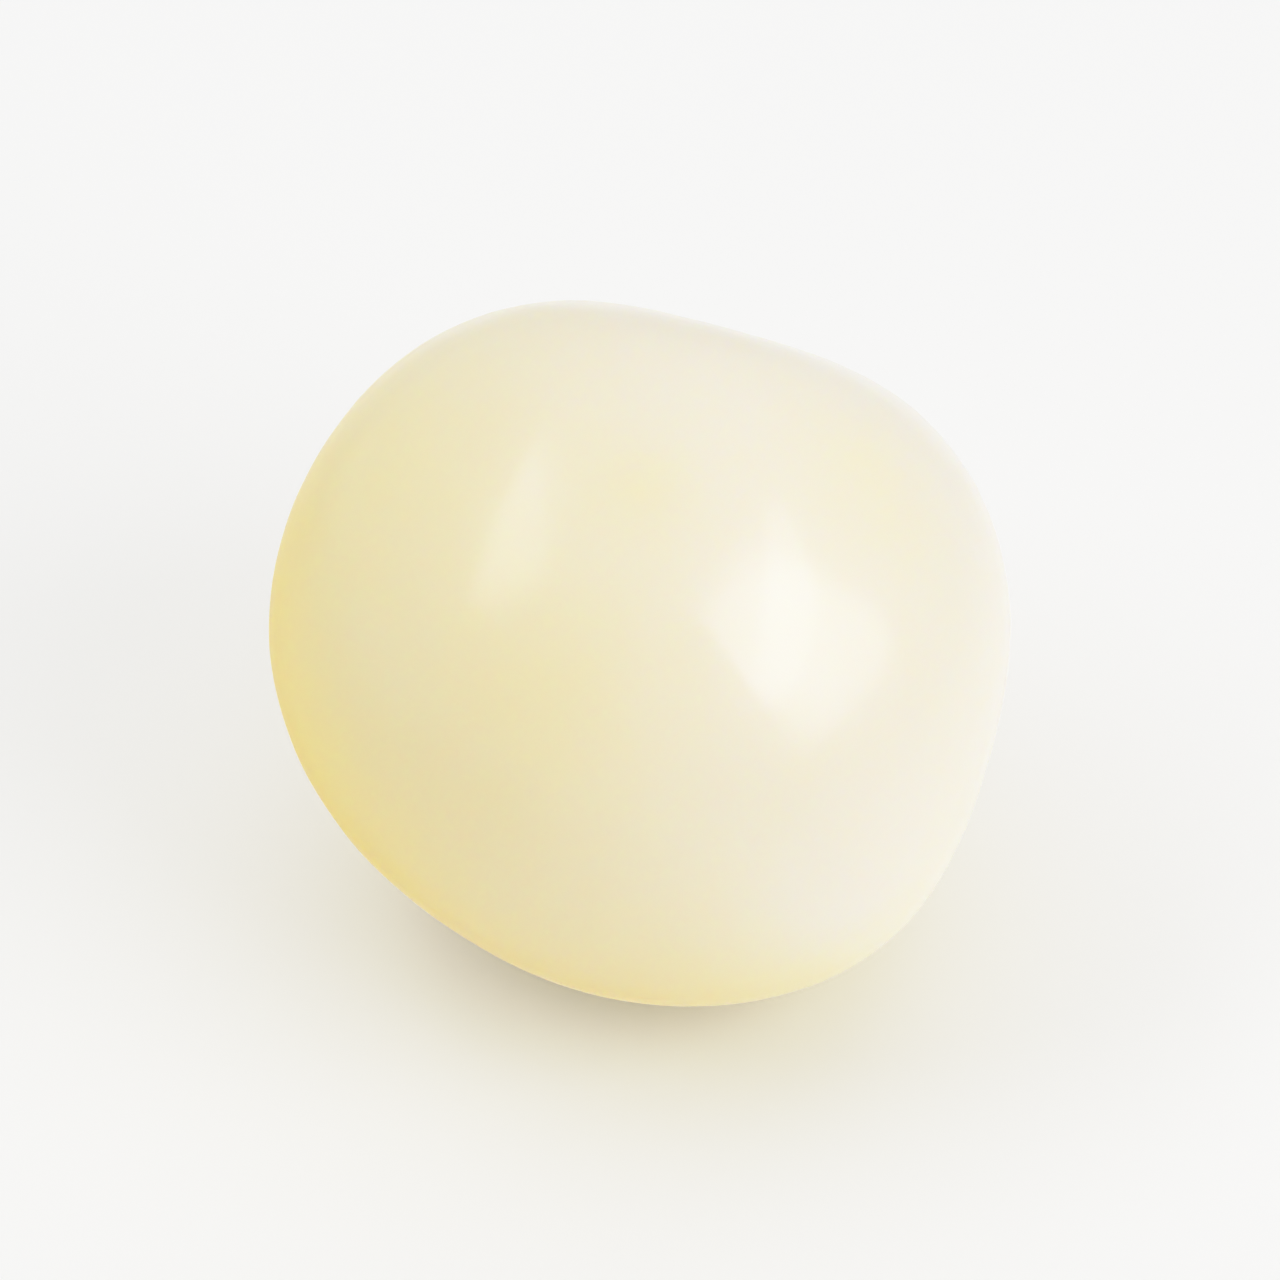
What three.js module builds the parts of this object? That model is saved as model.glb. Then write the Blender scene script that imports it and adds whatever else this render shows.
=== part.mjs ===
// A chewy sour ball: one piece of round candy, a soft chew under a smooth waxed sugar shell.
// It set while it lay pressed among others of its kind, so the round body has broad flats and
// low swellings, and a small flat spot underneath that it rests on.
// Millimetres, +Z up. The origin is on the surface it rests on, under the middle of the ball.

import * as THREE from 'three';
import { mergeVertices } from 'three/addons/utils/BufferGeometryUtils.js';

// The round body, before anything is pressed into it
const bodyRadius = 8.6;

// How finely the body is faceted: each side of an icosahedron gets one more part than this
const facetSplits = 15;

// The flat spot underneath: how far it cuts into the lowest point, and the rounding of its edge
const footDepth = 0.5;
const footRounding = 0.14;

// Flats have a negative rise and swellings a positive one, in millimetres at their middle.
// Bearing is the angle round the upright axis from +X, and height the angle above the equator.
// Spread is the angle from the middle at which about a third of the rise is left.
const pressedForms = {
  rearShoulderFlat: { bearing: 70, height: 40, rise: -1.0, spread: 30 },
  frontLeftFlat: { bearing: -135, height: -35, rise: -0.9, spread: 45 },
  rightCheekFlat: { bearing: -25, height: -5, rise: -0.25, spread: 20 },
  undersideRearFlat: { bearing: 105, height: -30, rise: -0.4, spread: 35 },
  frontRightSwelling: { bearing: -40, height: -30, rise: 0.4, spread: 25 },
  rightShoulderSwelling: { bearing: 20, height: 15, rise: 0.15, spread: 25 },
};

// The pale cream-yellow shell
const shellColour = 0xefe6c4;
const shellRoughness = 0.25;

function directionOf(bearing, height) {
  const turn = THREE.MathUtils.degToRad(bearing);
  const lift = THREE.MathUtils.degToRad(height);
  const level = Math.cos(lift);
  return new THREE.Vector3(level * Math.cos(turn), level * Math.sin(turn), Math.sin(lift));
}

// Each form is a smooth bump that falls off with the angle from its middle
function riseOf(form, direction) {
  const middle = directionOf(form.bearing, form.height);
  const falloff = 1 - Math.cos(THREE.MathUtils.degToRad(form.spread));
  return form.rise * Math.exp((direction.dot(middle) - 1) / falloff);
}

function radiusTowards(direction) {
  const rises = Object.values(pressedForms).map((form) => riseOf(form, direction));
  return rises.reduce((total, rise) => total + rise, bodyRadius);
}

// Points well below the foot's level are laid on it, points well above it stay where they are,
// and a parabola joins the two, so that the foot is truly flat and its edge is rounded
function heightAboveFoot(above) {
  if (above <= -footRounding) return 0;
  if (above >= footRounding) return above;
  return (above + footRounding) ** 2 / (4 * footRounding);
}

// An even, closed net of triangles over a ball, pushed in and out along its radii
function pressedBallGeometry() {
  const source = new THREE.IcosahedronGeometry(1, facetSplits);
  source.deleteAttribute('normal');
  source.deleteAttribute('uv');
  const geometry = mergeVertices(source, 1e-5);
  const position = geometry.attributes.position;
  const point = new THREE.Vector3();
  for (let i = 0; i < position.count; i += 1) {
    point.fromBufferAttribute(position, i).normalize();
    point.multiplyScalar(radiusTowards(point));
    position.setXYZ(i, point.x, point.y, point.z);
  }
  geometry.computeBoundingBox();
  return geometry;
}

// Flattens the foot and stands the ball on z = 0, with the middle of its box over the origin
function standOnFoot(geometry) {
  const box = geometry.boundingBox;
  const middle = box.getCenter(new THREE.Vector3());
  const footLevel = box.min.z + footDepth;
  const position = geometry.attributes.position;
  for (let i = 0; i < position.count; i += 1) {
    const above = heightAboveFoot(position.getZ(i) - footLevel);
    position.setXYZ(i, position.getX(i) - middle.x, position.getY(i) - middle.y, above);
  }
  geometry.computeVertexNormals();
  return geometry;
}

function candyBall() {
  const shell = new THREE.MeshStandardMaterial({
    color: shellColour,
    roughness: shellRoughness,
    metalness: 0,
  });
  const mesh = new THREE.Mesh(standOnFoot(pressedBallGeometry()), shell);
  mesh.name = 'ball';
  return mesh;
}

const chewySourBall = new THREE.Group();
chewySourBall.add(candyBall());

export default chewySourBall;
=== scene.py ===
# Chewy sour ball: the looks of one candy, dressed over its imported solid.
# Lengths in the dictionaries are millimetres, and angles are degrees.
import math

import bmesh
import bpy
import numpy as np
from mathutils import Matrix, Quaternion, Vector, noise


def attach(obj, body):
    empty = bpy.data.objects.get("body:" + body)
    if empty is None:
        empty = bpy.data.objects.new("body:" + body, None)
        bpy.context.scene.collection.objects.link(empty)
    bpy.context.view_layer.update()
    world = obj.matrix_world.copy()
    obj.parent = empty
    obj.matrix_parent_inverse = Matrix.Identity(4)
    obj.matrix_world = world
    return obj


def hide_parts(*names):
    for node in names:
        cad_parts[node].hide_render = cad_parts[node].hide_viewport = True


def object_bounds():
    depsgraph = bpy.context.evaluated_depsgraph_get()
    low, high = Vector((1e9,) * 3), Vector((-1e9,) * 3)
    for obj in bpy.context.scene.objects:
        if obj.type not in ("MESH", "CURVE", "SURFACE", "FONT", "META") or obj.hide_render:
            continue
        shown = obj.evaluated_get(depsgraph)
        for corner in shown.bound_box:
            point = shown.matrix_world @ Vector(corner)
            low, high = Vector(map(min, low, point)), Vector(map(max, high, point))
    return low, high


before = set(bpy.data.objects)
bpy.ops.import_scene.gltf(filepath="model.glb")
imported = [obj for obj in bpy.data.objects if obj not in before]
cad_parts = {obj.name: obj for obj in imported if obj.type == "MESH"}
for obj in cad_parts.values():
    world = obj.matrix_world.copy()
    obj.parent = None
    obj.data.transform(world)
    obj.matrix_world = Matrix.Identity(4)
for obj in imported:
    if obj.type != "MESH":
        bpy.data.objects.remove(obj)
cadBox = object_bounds()

mm = 0.001
lowest, highest = cadBox
middle = (lowest + highest) / 2


def linear(hexColour):
    # sRGB hex to the linear values that a node takes
    parts = [int(hexColour[i:i + 2], 16) / 255 for i in (1, 3, 5)]
    curve = [p / 12.92 if p <= 0.04045 else ((p + 0.055) / 1.055) ** 2.4 for p in parts]
    return (*curve, 1.0)


def addNode(tree, kind, inputs=None, **settings):
    # one node, its settings, and its inputs as plain values or as links
    node = tree.nodes.new(kind)
    for name, value in settings.items():
        setattr(node, name, value)
    for socket, value in (inputs or {}).items():
        if isinstance(value, bpy.types.NodeSocket):
            tree.links.new(value, node.inputs[socket])
        else:
            node.inputs[socket].default_value = value
    return node


def towards(bearing, height):
    # unit direction: bearing round the upright axis from +X, height above the horizon
    b, h = math.radians(bearing), math.radians(height)
    return Vector((math.cos(h) * math.cos(b), math.cos(h) * math.sin(b), math.sin(h)))


# The candy's shell. Sugar syrup panned over the chew and polished with wax: cloudy like
# old ivory, translucent for one to three millimetres, with a soft-edged gloss.
shellLook = {
    "thickAndLit": "#F0E7D5",  # where the sugar lies thick it hides the chew; on the lit right cheek it is painted light
    "thinAndShaded": "#F3E39B",  # where it is thin the yellow chew shows through; on the lower left and underside it is painted shade
    "cloudWidth": 4.0,  # clouds where the syrup dried unevenly
    "cloudDetail": 2.0,
    "mottleWidth": 1.2,  # and the finer mottle of its coats
    "mottleDetail": 3.0,
    "mottleShare": 0.35,
    "unevenness": 0.05,  # how far clouds and mottle shift the share of the yellow colour
    "noiseRange": (0.3, 0.7),  # nearly all of a noise lies between these
    "scatter": (2.6, 1.9, 0.7),  # how deep red, green and blue light go
    "roughness": 0.4,  # satin, as dried syrup is under its wax
    "roughnessShift": 0.03,  # how far the mottle shifts it
    "ior": 1.32,  # less than solid sugar's 1.5, as the wax over it takes part of the gloss
    "wax": 0.5,  # a thin coat, buffed but not bright
    "waxRoughness": 0.15,
    "peelWidth": 0.5,  # the faint ripple of panned sugar
    "peelDetail": 2.0,
    "peelHeight": 0.003,
}


def makeShell(look):
    material = bpy.data.materials.new("waxedSugarShell")
    material.use_nodes = True
    tree = material.node_tree
    tree.nodes.clear()
    # the object is in metres, so this turns places into millimetres
    place = addNode(tree, "ShaderNodeTexCoord").outputs["Object"]
    spot = addNode(tree, "ShaderNodeVectorMath", {0: place, 3: 1 / mm}, operation="SCALE").outputs["Vector"]

    def pattern(width, detail):
        inputs = {"Vector": spot, "Scale": 1 / width, "Detail": detail}
        return addNode(tree, "ShaderNodeTexNoise", inputs).outputs["Fac"]

    def around(source, centre, shift):
        low, high = look["noiseRange"]
        inputs = {"Value": source, "From Min": low, "From Max": high}
        inputs.update({"To Min": centre - shift, "To Max": centre + shift})
        return addNode(tree, "ShaderNodeMapRange", inputs).outputs["Result"]

    # a Mix node's inputs go by number: 0 the share, 2 and 3 plain numbers, 6 and 7 colours
    mottle = pattern(look["mottleWidth"], look["mottleDetail"])
    clouds = pattern(look["cloudWidth"], look["cloudDetail"])
    inputs = {0: look["mottleShare"], 2: clouds, 3: mottle}
    grain = addNode(tree, "ShaderNodeMix", inputs).outputs[0]
    uneven = around(grain, 0.0, look["unevenness"])
    # the share of the yellow: thin shell, plus painted shade on the lower left and underside
    thinShellAndShade = addNode(tree, "ShaderNodeAttribute", attribute_name="thinShellAndShade").outputs["Fac"]
    share = addNode(tree, "ShaderNodeMath", {0: thinShellAndShade, 1: uneven}, operation="ADD", use_clamp=True)
    inputs = {0: share.outputs[0], 6: linear(look["thickAndLit"]), 7: linear(look["thinAndShaded"])}
    colour = addNode(tree, "ShaderNodeMix", inputs, data_type="RGBA")
    ripple = pattern(look["peelWidth"], look["peelDetail"])
    inputs = {"Height": ripple, "Distance": look["peelHeight"] * mm, "Strength": 1.0}
    peel = addNode(tree, "ShaderNodeBump", inputs).outputs["Normal"]
    shell = addNode(tree, "ShaderNodeBsdfPrincipled", {
        "Base Color": colour.outputs[2],
        "Roughness": around(mottle, look["roughness"], look["roughnessShift"]),
        "IOR": look["ior"],
        "Normal": peel,
        "Coat Weight": look["wax"],
        "Coat Roughness": look["waxRoughness"],
        "Coat Normal": peel,
        "Subsurface Weight": 1.0,
        "Subsurface Scale": mm,
        "Subsurface Radius": look["scatter"],
    })
    addNode(tree, "ShaderNodeOutputMaterial", {"Surface": shell.outputs["BSDF"]})
    return material


# The candy itself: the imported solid, welded, smoothed and given its shell's low relief
candy = {
    "weld": 0.002,  # corners nearer than this become one
    "subdivisions": 2,
    # low waves left in the shell by the tumbling: how wide, and how high at most
    "waves": {"long": (3.2, 0.026), "short": (1.1, 0.012)},
    "levelFoot": 1.2,  # the waves fade out this far above the surface it rests on
    # Where the shell is thin, and where painted shade yellows the lower left and underside: bearing and
    # height of the middle, spread, and how much.
    # Below zero it is paler than what lies round it: painted light on the right cheek.
    "thinShellAndShadePatches": {
        # painted shade: the broad yellowing of the left side, underside and low front
        "leftSide": (180, 0, 45, 1.3),
        "underside": (-70, -60, 50, 1.1),
        "frontLeft": (-145, -5, 20, 0.7),
        "lowFront": (-110, 5, 20, 0.2),
        "leftMiddle": (-115, 35, 20, 0.5),
        "leftShoulder": (180, 50, 25, 0.35),
        "crownSpot": (-90, 72, 8, 0.25),
        "rightShoulder": (-10, 50, 15, 0.2),
        # painted light: paler where light falls on the right cheek
        "paintedLightCheek": (-55, -5, 20, -0.4),
    },
}


def makeCandy(settings):
    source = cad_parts["ball"]
    mesh = bpy.data.meshes.new("sourBall")
    shape = bmesh.new()
    shape.from_mesh(source.data)
    bmesh.ops.remove_doubles(shape, verts=shape.verts, dist=settings["weld"] * mm)
    shape.to_mesh(mesh)
    shape.free()
    mesh.materials.clear()
    piece = bpy.data.objects.new("sourBall", mesh)
    bpy.context.scene.collection.objects.link(piece)
    smooth = piece.modifiers.new("smooth", "SUBSURF")
    smooth.levels = smooth.render_levels = settings["subdivisions"]
    evaluated = piece.evaluated_get(bpy.context.evaluated_depsgraph_get())
    dense = bpy.data.meshes.new_from_object(evaluated)
    piece.modifiers.clear()
    piece.data = dense
    for face in dense.polygons:
        face.use_smooth = True
    raiseWaves(dense, settings["waves"], settings["levelFoot"])
    markThinShellAndShade(dense, settings["thinShellAndShadePatches"])
    return piece


def raiseWaves(mesh, waves, levelFoot):
    for vertex, normal in [(v, v.normal.copy()) for v in mesh.vertices]:
        place = vertex.co / mm
        rise = sum(height * noise.noise(place / width) for width, height in waves.values())
        fade = min(1.0, max(0.0, place.z / levelFoot))
        vertex.co += normal * rise * mm * fade * fade


def bumpAt(ways, bearing, height, spread):
    # 1 in the middle, falling off smoothly with the angle from it
    centre = np.array(towards(bearing, height))
    return np.exp((ways @ centre - 1) / (1 - math.cos(math.radians(spread))))


def waysFromMiddle(mesh):
    places = np.empty(len(mesh.vertices) * 3)
    mesh.vertices.foreach_get("co", places)
    offsets = places.reshape(-1, 3) - np.array(middle)
    return offsets / np.linalg.norm(offsets, axis=1)[:, None]


# the yellow share at each point: thin shell and painted shade, and painted light where an amount is below
# zero
def markThinShellAndShade(mesh, patches):
    ways = waysFromMiddle(mesh)
    thinAndShaded = sum(amount * bumpAt(ways, bearing, height, spread)
               for bearing, height, spread, amount in patches.values())
    # the share of the yellow, from thin shell and painted shade, nears the whole as the amounts add up, and
    # never reaches it
    share = 1 - np.exp(-thinAndShaded)
    mesh.attributes.new("thinShellAndShade", "FLOAT", "POINT").data.foreach_set("value", share.astype(np.float32))


ball = makeCandy(candy)
ball.data.materials.append(makeShell(shellLook))
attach(ball, "root")
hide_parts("ball")
print("candy:", len(ball.data.vertices), "vertices", len(ball.data.polygons), "faces")

# The stage: a matt white card floor and a pale room. The gloss doesn't mirror the card but
# the room below it, which is brighter lower down, and warm low on the left.
stage = {
    "floorSize": 4000,
    "floorColour": "#FCFCFB",
    "floorRoughness": 0.75,
    "roomColour": "#FFFFFF",
    "roomStrength": 0.61,
    "lowStrength": 1.2,
    "lowHeights": (-12, -40),  # where it starts to brighten, and where it is full
    "warmColour": "#E0B83C",
    "warmWay": (-165, -37),  # bearing and height of the warm side's middle
    "warmEdges": (84, 50),  # how far from there it starts, and where it is full
    "warmHeights": (-3, -17),
}


def makeFloor(settings):
    half = settings["floorSize"] * mm / 2
    corners = [(-half, -half, 0), (half, -half, 0), (half, half, 0), (-half, half, 0)]
    mesh = bpy.data.meshes.new("cardFloor")
    mesh.from_pydata(corners, [], [(0, 1, 2, 3)])
    floor = bpy.data.objects.new("cardFloor", mesh)
    bpy.context.scene.collection.objects.link(floor)
    material = bpy.data.materials.new("whiteCard")
    material.use_nodes = True
    card = material.node_tree.nodes["Principled BSDF"]
    card.inputs["Base Color"].default_value = linear(settings["floorColour"])
    card.inputs["Roughness"].default_value = settings["floorRoughness"]
    card.inputs["Specular IOR Level"].default_value = 0.0  # dead matt, without flare
    mesh.materials.append(material)
    floor.visible_glossy = False


def makeRoom(settings):
    world = bpy.data.worlds.new("paleRoom")
    world.use_nodes = True
    tree = world.node_tree
    way = addNode(tree, "ShaderNodeTexCoord").outputs["Generated"]
    up = (0, 0, 1)

    def ramp(axis, angles, measure):
        along = addNode(tree, "ShaderNodeVectorMath", {0: way, 1: axis}, operation="DOT_PRODUCT")
        start, full = (measure(math.radians(angle)) for angle in angles)
        inputs = {"Value": along.outputs["Value"], "From Min": start, "From Max": full}
        return addNode(tree, "ShaderNodeMapRange", inputs, interpolation_type="SMOOTHSTEP").outputs["Result"]

    aside = ramp(towards(*settings["warmWay"]), settings["warmEdges"], math.cos)
    under = ramp(up, settings["warmHeights"], math.sin)
    warm = addNode(tree, "ShaderNodeMath", {0: aside, 1: under}, operation="MULTIPLY").outputs[0]
    inputs = {0: warm, 6: linear(settings["roomColour"]), 7: linear(settings["warmColour"])}
    colour = addNode(tree, "ShaderNodeMix", inputs, data_type="RGBA").outputs[2]
    low = ramp(up, settings["lowHeights"], math.sin)
    inputs = {"Value": low, "To Min": settings["roomStrength"], "To Max": settings["lowStrength"]}
    strength = addNode(tree, "ShaderNodeMapRange", inputs).outputs["Result"]
    air = tree.nodes["Background"]
    tree.links.new(colour, air.inputs["Color"])
    tree.links.new(strength, air.inputs["Strength"])
    bpy.context.scene.world = world


makeFloor(stage)
makeRoom(stage)
print("stage: floor and room")

# Studio light: a big upright softbox in front on the right, brighter round its lamp and
# fading to the right, a strip up on the left, cut by its doors to a slanting wedge, and a
# soft panel overhead. Bearing and height give the way to each from the candy, wide and tall
# the angles that it fills there, and roll turns it. Each box is made twice: its light is what
# the body of the candy and the floor take up, and its shine is what only the gloss shows.
# Barn doors cut a box off: the side they stand on, how far out, and how softly.
softboxes = {
    "frontBox": {
        "shape": "RECTANGLE", "bearing": -23, "height": 30, "wide": 46, "tall": 60, "roll": 0,
        "light": 1.93, "shine": 5.3,
        "doors": [(128, 33, 10), (80, 27, 8), (24, 17, 6), (-90, 28, 8), (-156, 28, 8), (-52, 26, 80)],
    },
    "frontLamp": {
        "shape": "ELLIPSE", "bearing": -22.5, "height": 39.4, "wide": 61, "tall": 16, "roll": 33,
        "light": 0.4, "shine": 3.8,
        "doors": [],
    },
    "sideStrip": {
        "shape": "RECTANGLE", "bearing": 170, "height": 57, "wide": 72, "tall": 46, "roll": 0,
        "light": 2.7, "shine": 3.9,
        "doors": [(102, 9.8, 9), (78, 9.5, 14), (0, 24, 6), (-114, 7, 6)],
    },
    "overhead": {
        "shape": "RECTANGLE", "bearing": 90, "height": 67, "wide": 60, "tall": 60, "roll": 0,
        "light": 0.62, "shine": 0,
        "doors": [],
    },
}
softboxDistance = {"light": 450, "shine": 440}  # apart, so that neither hides the other


def hangDoors(light, doors, reach):
    light.use_nodes = True
    tree = light.node_tree
    place = addNode(tree, "ShaderNodeTexCoord").outputs["Object"]
    passed = 1.0
    for turn, edge, softness in doors:
        side = (math.cos(math.radians(turn)), math.sin(math.radians(turn)), 0)
        along = addNode(tree, "ShaderNodeVectorMath", {0: place, 1: side}, operation="DOT_PRODUCT")
        edges = [reach * math.tan(math.radians(edge + way * softness / 2)) for way in (-1, 1)]
        door = addNode(tree, "ShaderNodeMapRange", {
            "Value": along.outputs["Value"],
            "From Min": edges[0],
            "From Max": edges[1],
            "To Min": 1.0,
            "To Max": 0.0,
        })
        both = addNode(tree, "ShaderNodeMath", {0: passed, 1: door.outputs["Result"]}, operation="MULTIPLY")
        passed = both.outputs[0]
    tree.links.new(passed, tree.nodes["Emission"].inputs["Strength"])


def addSoftbox(name, settings, part):
    light = bpy.data.lights.new(name, "AREA")
    light.shape = settings["shape"]
    reach = softboxDistance[part] * mm
    light.size = 2 * reach * math.tan(math.radians(settings["wide"] / 2))
    light.size_y = 2 * reach * math.tan(math.radians(settings["tall"] / 2))
    surface = light.size * light.size_y * (math.pi / 4 if settings["shape"] == "ELLIPSE" else 1)
    # the power that gives a panel of this size the brightness asked for
    light.energy = settings[part] * math.pi * surface
    if settings["doors"]:
        hangDoors(light, settings["doors"], reach)
    box = bpy.data.objects.new(name, light)
    bpy.context.scene.collection.objects.link(box)
    way = towards(settings["bearing"], settings["height"])
    box.location = middle + way * reach
    box.rotation_mode = "QUATERNION"
    roll = Quaternion((0, 0, 1), math.radians(settings["roll"]))
    box.rotation_quaternion = way.to_track_quat("Z", "Y") @ roll
    return box


for name, settings in softboxes.items():
    addSoftbox(name + "Light", settings, "light").visible_glossy = False
    if settings["shine"]:
        addSoftbox(name + "Shine", settings, "shine").visible_diffuse = False
print("lights:", len(softboxes), "softboxes")

# The photograph looks down on the candy through a long lens
view = {
    "bearing": -90,
    "height": 48,
    "away": 240,
    "fill": 0.58,  # the share of the frame's width that the candy takes
    "sensor": 36,
    "clip": (10, 10000),
}


def makeCamera(settings):
    data = bpy.data.cameras.new("camera")
    data.sensor_width = settings["sensor"]
    frameWidth = (highest.x - lowest.x) / settings["fill"]
    data.lens = settings["sensor"] * settings["away"] * mm / frameWidth
    data.clip_start, data.clip_end = (distance * mm for distance in settings["clip"])
    camera = bpy.data.objects.new("camera", data)
    bpy.context.scene.collection.objects.link(camera)
    way = towards(settings["bearing"], settings["height"])
    camera.location = middle + way * settings["away"] * mm
    camera.rotation_mode = "QUATERNION"
    camera.rotation_quaternion = way.to_track_quat("Z", "Y")
    bpy.context.scene.camera = camera


makeCamera(view)
print("camera placed")

# A camera's own curve: plain up to the middle tones, then a soft shoulder into white.
# Each light level has the level it is shown at.
whiteCurve = {0.6: 0.6, 0.8: 0.785, 1.0: 0.9, 1.2: 0.965, 1.5: 1.0}


def softenWhites(points):
    settings = bpy.context.scene.view_settings
    settings.view_transform = "Standard"
    settings.use_curve_mapping = True
    mapping = settings.curve_mapping
    brightest = max(points)
    mapping.clip_max_x = brightest
    combined = mapping.curves[3]
    combined.points[-1].location = (brightest, points[brightest])
    for light, shown in points.items():
        if light < brightest:
            combined.points.new(light, shown)
    mapping.update()


softenWhites(whiteCurve)
print("whites softened")
